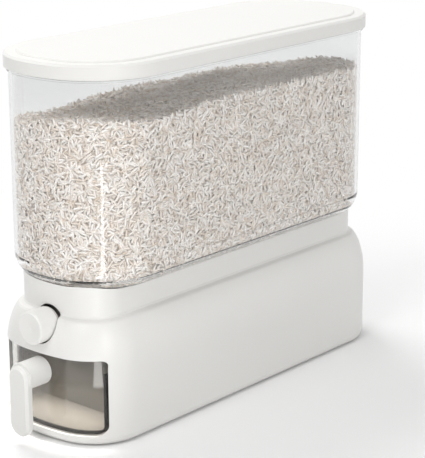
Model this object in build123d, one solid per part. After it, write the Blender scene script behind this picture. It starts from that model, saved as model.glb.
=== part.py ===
"""Countertop rice dispenser: a clear hopper on a white base with a push knob and a pull-out drawer.

The front faces -Y, the length runs along Y, the width along X and +Z is up.
All sizes are in millimetres.  The plan of every shell is the same kind of outline: straight
sides, ends that bow outwards and rounded corners, so one piece's outline is a parallel inset
of another's.
"""
from build123d import *
import os
from math import atan2, cos, degrees, radians, sin, sqrt

# ---------------------------------------------------------------- clearances and fits
seat_gap = 0.3            # pieces that rest on or slide past each other
joint_gap = 0.05          # pieces fixed together along a curved face
pin_clearance = 0.1       # radial, pin in the gate's lug
over_cut = 1.0            # how far a cutting solid runs past the face that it opens

# ---------------------------------------------------------------- plan outlines
base_half_width = 57.5
base_half_length = 173.4
base_bow_radius = 148.0
base_corner_radius = 41.0
lid_side_reach = 5.0      # the lid is this much wider than the base at each side
lid_end_setback = 2.9     # and this much shorter at each end
lid_bow_radius = 101.0
lid_corner_radius = 56.0

# ---------------------------------------------------------------- base shell
shell_wall = 2.5
shell_bottom_z = 0.8
base_edge_radius = 5.5
curl_steps = 3            # straight runs of the curled edge
brow_steps = 2            # and of each tight arc at the neck
shoulder_start_z = 57.0
shoulder_end_z = 89.6
shoulder_inset = 8.6
shoulder_lean = 36.2      # degrees from upright where the shoulder ends
shoulder_first_pull = 14.0
shoulder_last_pull = 8.8
shoulder_bend = 52.0      # mean radius of the shoulder's curve
brow_radius = 3.5         # tight arc between the shoulder and the neck's root
neck_inset = 13.75
neck_top_z = 119.0        # before the neck is cut to the hopper's underside
ledge_z = 98.0
ledge_thickness = 1.9
ledge_width = 3.0

# ---------------------------------------------------------------- drawer opening and bay
opening_side = 6.75       # from the base's side to the opening
sill_z = 8.1
opening_top_z = 65.0
opening_bottom_radius = 8.0
opening_top_radius = 3.5
bay_wall = 1.8
bay_floor = 2.2
bay_back_wall = 2.0
bay_rib_xs = (-18.0, 0.0, 18.0)
bay_rib_half_width = 1.0

# ---------------------------------------------------------------- drawer
front_recess = 3.5
front_thickness = 3.0
front_side_gap = 0.65
front_end_gap = 0.5
tray_side_room = 4.75
tray_wall = 2.0
tray_top_z = 53.0
tray_setback = 47.4       # from the base's front to the tray's back
tray_floor_radius = 5.0
seal_depth = 1.2
handle_axis_z = 51.0
handle_stem_radius = 10.3
handle_reach = 20.35      # in front of the base
blade_thickness = 7.5
blade_half_width = 9.3
blade_bottom_z = 6.6
blade_top_z = 59.6
blade_edge_slope = 1.9

# ---------------------------------------------------------------- knob and gate
knob_axis_z = 84.5
knob_radius = 12.2
knob_reach = 6.6          # in front of the base
knob_length = 16.8
knob_wall = 2.0
knob_dish_radius = 9.7
knob_dish_depth = 1.3
knob_edge_slope = 1.0
knob_hub_radius = 4.0
knob_hole_gap = 1.1
press_stroke = 13.0
gate_bottom_z = 71.5
gate_thickness = 2.0
gate_side = 27.4          # from the base's side to the gate's
gate_disc_radius = 11.6
gate_web_half_width = 9.0
slot_side = 4.1           # from the gate's side to its slot
slot_length = 12.0
lug_run = 35.5            # from the outlet's front to the back of the lug
lug_thickness = 3.0
lug_half_width = 7.0
lug_drop = 11.5
gate_lip = 2.5            # plate in front of the slot
gusset_height = 5.0
gusset_half_width = 0.8
spring_axis_z = 65.0
spring_radius = 4.0       # to the centre of the wire
spring_wire = 1.0
spring_turns = 5
spring_wire_sides = 6
spring_end_gap = 0.1
pin_radius = 2.0
pin_lead = 2.0            # the pin's reach in front of the lug
pin_point = 0.6

# ---------------------------------------------------------------- guide
guide_bottom_z = 67.0
guide_rail_width = 5.6
guide_lead = 7.5          # in front of the outlet
guide_run = 74.5          # from the outlet's front to the guide's back
crossbar_thickness = 4.0
crossbar_bottom_z = 59.0
chute_wall = 1.5
chute_bottom_z = 57.0
chute_side_room = 1.0     # the chute is wider than the outlet by this at each side
chute_front_room = 2.0
guide_screw_inset = 2.8
guide_screw_run = 45.5    # from the outlet's front

# ---------------------------------------------------------------- funnel
outlet_setback = 30.9     # from the base's front
funnel_wall = 2.0
funnel_inset = 19.6
funnel_bottom_z = 74.0
outlet_floor = 2.2
funnel_rise = 21.3
flange_thickness = 1.6
tower_half_width = 3.2
tower_height = 6.0
tower_roof = 1.5
funnel_seal_height = 1.9
funnel_seal_width = 2.6

# ---------------------------------------------------------------- hopper and lid
hopper_inset = 3.4
hopper_wall = 2.2
hopper_bottom_z = 111.0
hopper_edge_radius = 17.0
hopper_foot_steps = 3     # straight runs that stand for the rounded foot inside
hopper_top_z = 269.5
rim_height = 1.9
rim_reach = 1.6
collar_gap = 0.4
collar_wall = 2.2
collar_bottom_z = 103.8
lid_drop = 5.7            # the lid's edge lies this far under the hopper's top
lid_height = 10.4
lid_wall = 2.2
lid_edge_slope = 1.6
plateau_inset = 9.0
plateau_height = 1.2
plateau_slope = 0.9
plug_gap = 1.2
plug_wall = 1.8
plug_drop = 7.5           # the plug ring's end, from the same top
gasket_height = 3.0
gasket_drop = 4.7         # the gasket's lower edge, from the same top

# ---------------------------------------------------------------- base plate, feet and screws
plate_thickness = 2.5
plate_boss_side = 12.5    # from the base's side
plate_boss_front = 85.4   # from the base's front
plate_boss_rear = 49.4    # from the base's back
boss_radius = 4.5
boss_height = 26.0
foot_radius = 7.0
foot_side = 19.5          # from the base's side
foot_end = 27.4           # from the base's front and back
foot_depth = 1.8
foot_recess = 1.0
hook_side = 27.5          # from the base's side
hook_half_width = 5.0
hook_reach = 1.6
hook_length = 8.0
hook_lift = 0.9
hook_height = 2.4
screw_radius = 1.5
screw_head_radius = 2.4
screw_head_height = 1.7
screw_clearance = 0.2
screw_sides = 12          # the thread is left plain
screw_run_out = 1.0       # pilot bores go on past the screw's tip
plate_screw_length = 14.0
guide_screw_length = 10.5
knob_screw_length = 9.0
handle_screw_length = 14.0

# ---------------------------------------------------------------- worked out from the above
lid_half_width = base_half_width + lid_side_reach
lid_half_length = base_half_length - lid_end_setback
lid_bottom_z = hopper_top_z - lid_drop
plug_bottom_z = hopper_top_z - plug_drop
gasket_z = hopper_top_z - gasket_drop
opening_half_width = base_half_width - opening_side
tray_half_width = opening_half_width - tray_side_room
tray_back_y = tray_setback - base_half_length
handle_front_y = -base_half_length - handle_reach
knob_face_y = -base_half_length - knob_reach
knob_back_y = knob_face_y + knob_length
gate_half_width = base_half_width - gate_side
slot_half_width = gate_half_width - slot_side
outlet_front_y = outlet_setback - base_half_length
lug_back_y = outlet_front_y + lug_run
guide_front_y = outlet_front_y - guide_lead
guide_back_y = outlet_front_y + guide_run
guide_screw_y = outlet_front_y + guide_screw_run
plate_boss_x = base_half_width - plate_boss_side
plate_boss_ys = (plate_boss_front - base_half_length, base_half_length - plate_boss_rear)
foot_x = base_half_width - foot_side
foot_y = base_half_length - foot_end
hook_x = base_half_width - hook_side
plate_top_z = shell_bottom_z + plate_thickness
bay_back_y = tray_back_y + front_end_gap
outlet_back_y = outlet_front_y + slot_length
flange_z = ledge_z + ledge_thickness + joint_gap
lug_front_y = lug_back_y - lug_thickness
front_inset = front_recess + front_thickness
spring_seat_y = guide_back_y - crossbar_thickness
guide_half_width = gate_half_width + seat_gap + guide_rail_width
guide_screw_x = guide_half_width - guide_screw_inset
chute_half_width = slot_half_width + chute_side_room
chute_front_y = outlet_front_y - chute_front_room
chute_back_y = outlet_back_y + chute_side_room
# The stored origin lies under the middle of the whole object, handle included.
origin_y = (handle_front_y + base_half_length) / 2


# ================================================================ outlines and simple solids
def outline(half_width, half_length, bow_radius, corner_radius, inset=0.0):
    """Wire on the floor: straight sides, bowed ends and round corners, moved in by inset."""
    width = half_width - inset
    length = half_length - inset
    bow = bow_radius - inset
    corner = corner_radius - inset
    bow_centre = length - bow
    corner_x = width - corner
    corner_y = bow_centre + sqrt((bow - corner) ** 2 - corner_x**2)
    turn = atan2(corner_y - bow_centre, corner_x)
    corner_mid = (corner_x + corner * cos(turn / 2), corner_y + corner * sin(turn / 2))
    corner_end = (corner_x + corner * cos(turn), corner_y + corner * sin(turn))

    def end(side):
        """The three arcs of one end: corner, bow, corner."""
        first = ThreePointArc(
            (side * width, side * corner_y),
            (side * corner_mid[0], side * corner_mid[1]),
            (side * corner_end[0], side * corner_end[1]),
        )
        bowed = ThreePointArc(first @ 1, (0, side * length), (-side * corner_end[0], side * corner_end[1]))
        last = ThreePointArc(
            bowed @ 1,
            (-side * corner_mid[0], side * corner_mid[1]),
            (-side * width, side * corner_y),
        )
        return [first, bowed, last]

    edges = [Line((width, -corner_y), (width, corner_y))]
    edges += end(1)
    edges.append(Line((-width, corner_y), (-width, -corner_y)))
    edges += end(-1)
    return Wire(edges)


def base_outline(inset=0.0):
    return outline(base_half_width, base_half_length, base_bow_radius, base_corner_radius, inset)


def lid_outline(inset=0.0):
    return outline(lid_half_width, lid_half_length, lid_bow_radius, lid_corner_radius, inset)


def slab(wire, bottom, top):
    """Upright solid on a floor outline, from one height to another."""
    return Pos(0, 0, bottom) * extrude(Face(wire), amount=top - bottom)


def ring(outer, inner, bottom, top):
    return slab(outer, bottom, top) - slab(inner, bottom, top)


def block(x_from, x_to, y_from, y_to, z_from, z_to):
    """Box between two corners."""
    size = (x_to - x_from, y_to - y_from, z_to - z_from)
    centre = ((x_from + x_to) / 2, (y_from + y_to) / 2, (z_from + z_to) / 2)
    return Pos(*centre) * Box(*size)


def wide_block(half_width, y_from, y_to, z_from, z_to):
    """Box centred on the plane of symmetry."""
    return block(-half_width, half_width, y_from, y_to, z_from, z_to)


def rod_along_y(radius, y_from, y_to, x=0.0, z=0.0):
    centre = Pos(x, (y_from + y_to) / 2, z)
    return centre * Rot(90, 0, 0) * Cylinder(radius, abs(y_to - y_from))


def post(radius, x, y, z_from, z_to):
    return Pos(x, y, (z_from + z_to) / 2) * Cylinder(radius, z_to - z_from)


def mirrored_pairs(x, ys):
    """Places at both sides of the plane of symmetry, one pair for each y."""
    return [(side * x, y) for y in ys for side in (-1, 1)]


def bottom_edges(solid):
    return solid.edges().group_by(Axis.Z)[0]


def top_edges(solid):
    return solid.edges().group_by(Axis.Z)[-1]


def along_x(points, half_width):
    """Solid with a side profile of (y, z) points, extruded to both sides of the middle."""
    face = Face(Wire.make_polygon([Vector(-half_width, y, z) for y, z in points], close=True))
    return Solid.extrude(face, Vector(2 * half_width, 0, 0))


def opening_prism(half_width, bottom, top, bottom_radius, top_radius, y_from, y_to):
    """Straight run along Y of the drawer opening's rounded section."""
    height = top - bottom
    section = Plane(origin=(0, y_to, (bottom + top) / 2), x_dir=(1, 0, 0), z_dir=(0, -1, 0))
    sketch = Rectangle(2 * half_width, height)
    lower = sketch.vertices().group_by(Axis.Y)[0]
    sketch = fillet(lower, bottom_radius)
    upper = sketch.vertices().group_by(Axis.Y)[-1]
    sketch = fillet(upper, top_radius)
    return extrude(section * sketch, amount=y_to - y_from)


def pan_screw(length, shank=screw_radius, head=screw_head_radius):
    """Pan-head screw standing on its tip's axis: the head's seat at z = 0, the shank above it."""
    shaft = extrude(RegularPolygon(shank, screw_sides), amount=length)
    cap = Pos(0, 0, -screw_head_height / 2) * Cylinder(head, screw_head_height)
    slot = Box(head * 1.4, head / 4, screw_head_height)
    return shaft + cap - Pos(0, 0, -screw_head_height) * slot


# ================================================================ base
def wall_line(depth):
    """Line of the base wall from its curled foot to the neck's top, at a depth into the wall.

    Points are (distance in from the base outline, height)."""
    lean = radians(shoulder_lean)
    diagonal = cos(radians(45))
    curl = base_edge_radius - depth
    curl_centre = (base_edge_radius, shell_bottom_z + base_edge_radius)
    curl_end = (curl_centre[0], curl_centre[1] - curl)
    curl_mid = (curl_centre[0] - curl * diagonal, curl_centre[1] - curl * diagonal)
    wall_foot = (depth, curl_centre[1])
    wall_head = (depth, shoulder_start_z)
    shoulder_end = (shoulder_inset + depth * cos(lean), shoulder_end_z - depth * sin(lean))
    shrink = 1 - depth / shoulder_bend
    first_pull = (depth, shoulder_start_z + shoulder_first_pull * shrink)
    last_pull = (
        shoulder_end[0] - shoulder_last_pull * shrink * sin(lean),
        shoulder_end[1] - shoulder_last_pull * shrink * cos(lean),
    )
    brow_centre = (shoulder_inset + brow_radius * cos(lean), shoulder_end_z - brow_radius * sin(lean))
    brow = brow_radius - depth
    brow_angle = (lean + radians(90)) / 2
    brow_mid = (brow_centre[0] - brow * cos(brow_angle), brow_centre[1] + brow * sin(brow_angle))
    brow_end = (brow_centre[0], brow_centre[1] + brow)
    root = neck_inset - brow_centre[0] + depth
    root_mid = (brow_end[0] + root * diagonal, brow_end[1] + root * (1 - diagonal))
    root_end = (neck_inset + depth, brow_end[1] + root)
    return [
        ThreePointArc(curl_end, curl_mid, wall_foot),
        Line(wall_foot, wall_head),
        Bezier(wall_head, first_pull, last_pull, shoulder_end),
        ThreePointArc(shoulder_end, brow_mid, brow_end),
        ThreePointArc(brow_end, root_mid, root_end),
        Line(root_end, (neck_inset + depth, neck_top_z)),
    ]


def stepped(arc, steps):
    """Points along an arc, which stand for it as short straight runs."""
    return [arc @ (i / steps) for i in range(steps + 1)]


def wall_section():
    """Section of the base wall, from its curled foot to the brow under the neck.

    The hidden side goes from point to point, with the long shoulder in three runs."""
    curl, wall, shoulder, brow, *_ = wall_line(0)
    outside = [Polyline(*stepped(curl, curl_steps)), wall, shoulder, Polyline(*stepped(brow, brow_steps))]
    inner_curl, inner_wall, inner_shoulder, inner_brow, *_ = wall_line(shell_wall)
    points = [inner_curl @ 0, *stepped(inner_wall, 1), *stepped(inner_shoulder, 3)[1:], inner_brow @ 1]
    return make_face([*outside, Polyline(brow @ 1, *reversed(points), curl @ 0)])


def neck_section():
    """Section of the neck's wall, from its root on the brow to its top."""
    *_, root, neck = wall_line(0)
    *_, inner_root, inner_neck = wall_line(shell_wall)
    step = Vector(joint_gap, 0)
    outside = [root @ 0 + step, *stepped(root, brow_steps)[1:], neck @ 1]
    inside = [inner_root @ 0 + step, *stepped(inner_root, brow_steps)[1:], inner_neck @ 1]
    return make_face([Polyline(*outside, *reversed(inside), close=True)])


def hopper_outside(growth=0.0):
    """The hopper's outer form, grown by a clearance."""
    body = slab(lid_outline(hopper_inset - growth), hopper_bottom_z - growth, hopper_top_z)
    return fillet(bottom_edges(body), hopper_edge_radius + growth)


def carried_round(section, path):
    """Solid made by carrying a section round an outline: runs are extruded and arcs revolved."""
    solids = []
    for edge in path.edges():
        along = edge % 0
        inward = Vector(0, 0, 1).cross(along)
        placed = Plane(origin=edge @ 0, x_dir=inward, z_dir=along) * section
        if edge.geom_type == GeomType.LINE:
            solids.append(extrude(placed, amount=edge.length))
        else:
            turn = degrees(edge.length / edge.radius)
            solids.append(revolve(placed, axis=Axis(edge.arc_center, (0, 0, 1)), revolution_arc=turn))
    return solids[0].fuse(*solids[1:])


def knob_hole():
    """The knob's way through the bowed front, which just passes under the ledge."""
    back_y = -base_half_length + neck_inset + shell_wall + ledge_width
    return rod_along_y(knob_radius + knob_hole_gap, -base_half_length - shell_wall, back_y, z=knob_axis_z)


def base_shell():
    shell = carried_round(wall_section(), base_outline())
    shell -= opening_prism(
        opening_half_width, sill_z, opening_top_z, opening_bottom_radius, opening_top_radius,
        -base_half_length - shell_wall, bay_back_y,
    )
    shell -= knob_hole()
    for x, y in mirrored_pairs(plate_boss_x, plate_boss_ys):
        side = 1 if x > 0 else -1
        boss_top_z = plate_top_z + boss_height
        wall_x = side * (base_half_width - shell_wall / 2)
        web = block(
            min(x, wall_x), max(x, wall_x), y - shell_wall / 2, y + shell_wall / 2,
            plate_top_z + base_edge_radius, boss_top_z,
        )
        shell += post(boss_radius, x, y, plate_top_z + joint_gap, boss_top_z)
        shell += web
        bore_top_z = plate_top_z + plate_screw_length
        shell -= post(screw_radius + joint_gap, x, y, plate_top_z, bore_top_z)
    return shell


def neck_ring():
    """Upright ring on the shell's brow: a cradle for the hopper outside, a ledge for the funnel inside."""
    ring_wall = carried_round(neck_section(), base_outline())
    ring_wall -= hopper_outside(growth=seat_gap)
    ledge_inset = neck_inset + shell_wall
    ring_wall += ring(
        base_outline(ledge_inset - joint_gap),
        base_outline(ledge_inset + ledge_width),
        ledge_z,
        ledge_z + ledge_thickness,
    )
    return ring_wall - knob_hole()


def base_plate():
    plate_inset = base_edge_radius + seat_gap
    plate = slab(base_outline(plate_inset), shell_bottom_z, plate_top_z)
    head_seat_z = shell_bottom_z + screw_head_height + screw_clearance
    for x, y in mirrored_pairs(plate_boss_x, plate_boss_ys):
        plate -= post(screw_head_radius + 2 * screw_clearance, x, y, shell_bottom_z, head_seat_z)
        plate -= post(screw_radius + screw_clearance, x, y, head_seat_z, plate_top_z)
    for x, y in mirrored_pairs(foot_x, (-foot_y, foot_y)):
        plate -= post(foot_radius + screw_clearance, x, y, shell_bottom_z, shell_bottom_z + foot_recess)
    # Two hooks at the front reach over the shell's curled edge.
    for side in (-1, 1):
        x = side * hook_x
        front_y = base_front_y(x, plate_inset)
        span = (x - hook_half_width, x + hook_half_width, front_y - hook_length, front_y + hook_length)
        foot = block(*span, plate_top_z, plate_top_z + hook_height)
        tip = block(*span, plate_top_z + hook_lift, plate_top_z + hook_height)
        plate += foot & slab(base_outline(plate_inset), 0, hopper_bottom_z)
        plate += tip & slab(base_outline(plate_inset - hook_reach), 0, hopper_bottom_z)
    return plate


def base_front_y(x, inset):
    """Y of the front of an inset base outline at a given x."""
    corner = base_corner_radius - inset
    corner_x = base_half_width - base_corner_radius
    bow_centre = base_half_length - base_bow_radius
    reach = base_bow_radius - base_corner_radius
    corner_y = bow_centre + sqrt(reach**2 - corner_x**2)
    tangent_x = (base_bow_radius - inset) * corner_x / reach
    if abs(x) <= tangent_x:
        return -bow_centre - sqrt((base_bow_radius - inset) ** 2 - x**2)
    return -corner_y - sqrt(corner**2 - (abs(x) - corner_x) ** 2)


def foot_pads():
    return Compound([post(foot_radius, x, y, 0, foot_depth) for x, y in mirrored_pairs(foot_x, (-foot_y, foot_y))])


def base_screws():
    seat_z = shell_bottom_z + screw_head_height + screw_clearance
    screws = [
        Pos(x, y, seat_z) * pan_screw(plate_screw_length)
        for x, y in mirrored_pairs(plate_boss_x, plate_boss_ys)
    ]
    return Compound(screws)


def drawer_bay():
    """White box behind the opening that the drawer runs in, with a slot for the chute."""
    outer_inset = shell_wall + 3 * seat_gap
    front = -base_half_length - shell_wall
    bay = opening_prism(
        opening_half_width + bay_wall, sill_z - bay_floor, opening_top_z + bay_wall,
        opening_bottom_radius + bay_floor, opening_top_radius + bay_wall,
        front, bay_back_y + bay_back_wall,
    )
    bay = bay & slab(base_outline(outer_inset), 0, opening_top_z + 2 * bay_wall)
    bay -= opening_prism(
        opening_half_width, sill_z, opening_top_z, opening_bottom_radius, opening_top_radius, front, bay_back_y
    )
    chute_room = chute_wall + 2 * seat_gap
    bay -= wide_block(
        chute_half_width + chute_room,
        chute_front_y - chute_room,
        chute_back_y + chute_room,
        opening_top_z - bay_wall,
        opening_top_z + 2 * bay_wall,
    )
    # Ribs under the floor stand on the base plate.
    rib_front = base_front_y(opening_half_width / 2, outer_inset + base_edge_radius)
    for x in bay_rib_xs:
        bay += block(
            x - bay_rib_half_width, x + bay_rib_half_width, rib_front + base_edge_radius, bay_back_y,
            plate_top_z + joint_gap, sill_z - bay_floor / 2,
        )
    return bay


# ================================================================ funnel, guide and gate
def hopper_funnel():
    """Trough under the hopper, whose floor runs down to the outlet at the front."""
    rear_y = base_half_length
    run = rear_y - funnel_inset - outlet_back_y
    slope = funnel_rise / run
    rise = slope * (rear_y - outlet_back_y)
    top_z = flange_z + flange_thickness
    outer_profile = [
        (outlet_front_y - funnel_wall, top_z),
        (outlet_front_y - funnel_wall, funnel_bottom_z),
        (outlet_back_y, funnel_bottom_z),
        (rear_y, funnel_bottom_z + rise),
        (rear_y, top_z),
    ]
    floor_z = funnel_bottom_z + outlet_floor
    inner_profile = [
        (outlet_front_y, top_z + over_cut),
        (outlet_front_y, floor_z),
        (outlet_back_y, floor_z),
        (rear_y, floor_z + rise),
        (rear_y, top_z + over_cut),
    ]
    trough = slab(base_outline(funnel_inset), funnel_bottom_z, top_z) & along_x(outer_profile, base_half_width)
    trough += wide_block(
        guide_half_width, outlet_front_y - funnel_wall, lug_front_y, funnel_bottom_z, funnel_bottom_z + outlet_floor
    )
    flange_inset = neck_inset + shell_wall + seat_gap
    trough += slab(base_outline(flange_inset), flange_z, top_z)
    trough -= slab(base_outline(funnel_inset + funnel_wall), floor_z, top_z + over_cut) & along_x(
        inner_profile, base_half_width
    )
    trough -= wide_block(slot_half_width, outlet_front_y, outlet_back_y, funnel_bottom_z, floor_z)
    for x, y in mirrored_pairs(guide_screw_x, (guide_screw_y,)):
        tower_top = funnel_bottom_z + tower_height
        trough += block(
            x - tower_half_width, x + tower_half_width, y - tower_half_width, y + tower_half_width,
            funnel_bottom_z, tower_top,
        )
        trough -= post(screw_radius + joint_gap, x, y, funnel_bottom_z, tower_top - tower_roof)
    return trough


def funnel_seal():
    outer = neck_inset + shell_wall + seat_gap + joint_gap
    bottom = flange_z + flange_thickness + joint_gap
    return ring(base_outline(outer), base_outline(outer + funnel_seal_width), bottom, bottom + funnel_seal_height)


def gate_guide():
    """Frame screwed under the funnel: rails for the gate, a chute and the spring's cross-bar."""
    inner = gate_half_width + seat_gap
    floor_top = gate_bottom_z - seat_gap
    top = funnel_bottom_z - joint_gap
    frame = wide_block(guide_half_width, guide_front_y, guide_back_y, guide_bottom_z, top)
    frame -= wide_block(inner, guide_front_y, lug_front_y - seat_gap, floor_top, top)
    frame -= wide_block(inner, lug_front_y - seat_gap, spring_seat_y, guide_bottom_z, top)
    frame += wide_block(inner, spring_seat_y, guide_back_y, crossbar_bottom_z, top)
    frame += wide_block(
        chute_half_width + chute_wall, chute_front_y - chute_wall, chute_back_y + chute_wall,
        chute_bottom_z, guide_bottom_z,
    )
    frame -= wide_block(chute_half_width, chute_front_y, chute_back_y, chute_bottom_z, floor_top)
    frame -= rod_along_y(pin_radius, spring_seat_y, guide_back_y, z=spring_axis_z)
    for x, y in mirrored_pairs(guide_screw_x, (guide_screw_y,)):
        frame -= post(screw_radius + screw_clearance, x, y, guide_bottom_z, top)
    return frame


def guide_screws():
    screws = [
        Pos(x, y, guide_bottom_z) * pan_screw(guide_screw_length)
        for x, y in mirrored_pairs(guide_screw_x, (guide_screw_y,))
    ]
    return Compound(screws)


def gate_slide():
    """Sliding gate: plate with the measuring slot, knob disc at the front and spring lug behind."""
    plate_top = gate_bottom_z + gate_thickness
    slot_front = outlet_front_y - press_stroke
    plate = wide_block(gate_half_width, slot_front - gate_lip, lug_back_y, gate_bottom_z, plate_top)
    plate -= wide_block(slot_half_width, slot_front, slot_front + slot_length, gate_bottom_z, plate_top)
    disc_front = knob_back_y + joint_gap
    disc_back = disc_front + gate_thickness
    plate += wide_block(gate_web_half_width, disc_front, slot_front, gate_bottom_z, plate_top)
    plate += wide_block(gate_web_half_width, disc_front, disc_back, gate_bottom_z, knob_axis_z)
    plate += rod_along_y(gate_disc_radius, disc_front, disc_back, z=knob_axis_z)
    plate -= rod_along_y(screw_radius + screw_clearance, disc_front, disc_back, z=knob_axis_z)
    # Two gussets stiffen the upright against the push, and stop short of the funnel when it is pressed.
    gusset_back = outlet_front_y - funnel_wall - seat_gap - press_stroke
    for side in (-1, 1):
        x = side * (gate_web_half_width - gusset_half_width)
        corners = [(disc_back, plate_top), (gusset_back, plate_top), (disc_back, plate_top + gusset_height)]
        plate += Pos(x, 0, 0) * along_x(corners, gusset_half_width)
    lug = wide_block(lug_half_width, lug_front_y, lug_back_y, gate_bottom_z - lug_drop, gate_bottom_z)
    plate += lug - rod_along_y(pin_radius + pin_clearance, lug_front_y, lug_back_y, z=spring_axis_z)
    return plate


def push_knob():
    """Hollow round button with a dished face and a hub for its screw."""
    cup = Cylinder(knob_radius, knob_length)
    cup = chamfer(top_edges(cup), knob_edge_slope)
    face_wall = knob_wall + knob_dish_depth
    cup -= Pos(0, 0, -face_wall / 2) * Cylinder(knob_radius - knob_wall, knob_length - face_wall)
    cup += Pos(0, 0, -face_wall / 2) * Cylinder(knob_hub_radius, knob_length - face_wall)
    dish = Cone(0, knob_dish_radius, knob_dish_depth)
    cup -= Pos(0, 0, (knob_length - knob_dish_depth) / 2) * dish
    pilot = knob_screw_length - gate_thickness + screw_run_out
    cup -= Pos(0, 0, (pilot - knob_length) / 2) * Cylinder(screw_radius + joint_gap, pilot)
    return Pos(0, (knob_face_y + knob_back_y) / 2, knob_axis_z) * Rot(90, 0, 0) * cup


def knob_screw():
    seat_y = knob_back_y + joint_gap + gate_thickness
    return Pos(0, seat_y, knob_axis_z) * Rot(90, 0, 0) * pan_screw(knob_screw_length)


def spring_pin():
    front = lug_front_y - pin_lead
    pin = rod_along_y(pin_radius, front, guide_back_y, z=spring_axis_z)
    return chamfer(pin.edges().sort_by(Axis.Y)[0], pin_point)


def return_spring():
    """Open coil between the gate's lug and the guide's cross-bar."""
    front = lug_back_y + spring_wire / 2 + spring_end_gap
    length = spring_seat_y - spring_wire / 2 - spring_end_gap - front
    helix = Helix(pitch=length / spring_turns, height=length, radius=spring_radius)
    wire_plane = Plane(origin=helix @ 0, z_dir=helix % 0)
    coil = sweep(wire_plane * RegularPolygon(spring_wire / 2, spring_wire_sides), path=helix, is_frenet=True)
    return Pos(0, front, spring_axis_z) * Rot(-90, 0, 0) * coil


# ================================================================ drawer
def drawer_front():
    """Clear smoked panel, bowed like the base and set back in its opening."""
    skin = ring(base_outline(front_recess), base_outline(front_inset), 0, opening_top_z)
    panel = skin & opening_prism(
        opening_half_width - front_side_gap, sill_z + front_end_gap, opening_top_z - front_end_gap,
        opening_bottom_radius - front_side_gap, opening_top_radius - front_end_gap,
        -base_half_length, 0,
    )
    return panel - rod_along_y(screw_radius + screw_clearance, -base_half_length, 0, z=handle_axis_z)


def tray_section(inset, y_from, y_to):
    """U-shaped run of the tray's walls and floor, open at the top."""
    floor_z = sill_z + seat_gap
    headroom = 2 * tray_wall
    run = opening_prism(
        tray_half_width - inset, floor_z + inset, tray_top_z + headroom, tray_floor_radius - inset,
        tray_wall - joint_gap, y_from, y_to,
    )
    return run & wide_block(base_half_width, y_from, y_to, 0, tray_top_z + (headroom if inset else 0))


def drawer_tray():
    front = -base_half_length
    body = slab(base_outline(front_inset + seal_depth + 2 * joint_gap), 0, tray_top_z)
    tray = tray_section(0, front, tray_back_y) & body
    tray -= tray_section(tray_wall, front - over_cut, tray_back_y - tray_wall)
    return tray


def drawer_seal():
    """Thin black strip between the tray's front edge and the panel."""
    skin = ring(
        base_outline(front_inset + joint_gap), base_outline(front_inset + joint_gap + seal_depth), 0, tray_top_z
    )
    strip = tray_section(0, -base_half_length, tray_back_y - tray_wall) & skin
    return strip - tray_section(tray_wall, -base_half_length - over_cut, tray_back_y)


def drawer_handle():
    """Round stem on the panel that carries an upright, flat grip."""
    grip_height = blade_top_z - blade_bottom_z
    face = Plane(
        origin=(0, handle_front_y, (blade_top_z + blade_bottom_z) / 2), x_dir=(1, 0, 0), z_dir=(0, 1, 0)
    )
    grip = extrude(face * Rot(0, 0, 90) * SlotOverall(grip_height, 2 * blade_half_width), amount=blade_thickness)
    outlines = grip.edges().group_by(Axis.Y)
    grip = chamfer(outlines[0] + outlines[-1], blade_edge_slope)
    stem = rod_along_y(
        handle_stem_radius, handle_front_y + blade_thickness / 2, -base_half_length + 2 * front_recess,
        z=handle_axis_z,
    )
    stem -= slab(base_outline(front_recess - joint_gap), 0, opening_top_z)
    pilot_depth = handle_screw_length + screw_run_out
    pilot_back = -base_half_length + front_inset
    stem_and_grip = grip + stem
    return stem_and_grip - rod_along_y(
        screw_radius + joint_gap, pilot_back - pilot_depth, pilot_back, z=handle_axis_z
    )


def handle_screw():
    seat_y = -base_half_length + front_inset + joint_gap
    return Pos(0, seat_y, handle_axis_z) * Rot(90, 0, 0) * pan_screw(handle_screw_length)


# ================================================================ hopper and lid
def hopper_inside():
    """The hopper's cavity, whose rounded foot goes in a few straight runs."""
    radius = hopper_edge_radius - hopper_wall
    floor_z = hopper_bottom_z + hopper_wall
    top_z = hopper_top_z + over_cut
    foot = ThreePointArc(
        (0, floor_z + radius),
        (radius * (1 - cos(radians(45))), floor_z + radius * (1 - sin(radians(45)))),
        (radius, floor_z),
    )
    middle = radius + over_cut
    edge = Polyline(
        (0, top_z), *stepped(foot, hopper_foot_steps), (middle, floor_z), (middle, top_z), close=True
    )
    inner = hopper_inset + hopper_wall
    skirt = carried_round(make_face([edge]), lid_outline(inner))
    return skirt + slab(lid_outline(inner + radius), floor_z, top_z)


def hopper():
    """Clear hopper with a rounded foot, a rim under the lid and a collar that sits in the neck."""
    body = hopper_outside()
    rim_top_z = lid_bottom_z - seat_gap
    body += slab(lid_outline(hopper_inset - rim_reach), rim_top_z - rim_height, rim_top_z)
    collar_inset = neck_inset + shell_wall + collar_gap
    collar_top_z = hopper_bottom_z + 2 * hopper_wall
    body += slab(base_outline(collar_inset), collar_bottom_z, collar_top_z)
    body -= hopper_inside()
    body -= slab(base_outline(collar_inset + collar_wall), collar_bottom_z, collar_top_z)
    return body


def lid():
    """Lid with a shallow raised panel, a skirt and a plug ring that carries the gasket."""
    top_z = lid_bottom_z + lid_height
    cap = slab(lid_outline(), lid_bottom_z, top_z)
    cap = chamfer(top_edges(cap), lid_edge_slope)
    plateau = slab(lid_outline(plateau_inset), top_z - plateau_height, top_z + plateau_height)
    cap += chamfer(top_edges(plateau), plateau_slope)
    cap -= slab(lid_outline(lid_wall), lid_bottom_z, top_z - lid_wall)
    plug_inset = hopper_inset + hopper_wall + plug_gap
    cap += ring(lid_outline(plug_inset), lid_outline(plug_inset + plug_wall), plug_bottom_z, top_z - lid_wall / 2)
    return cap


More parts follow.
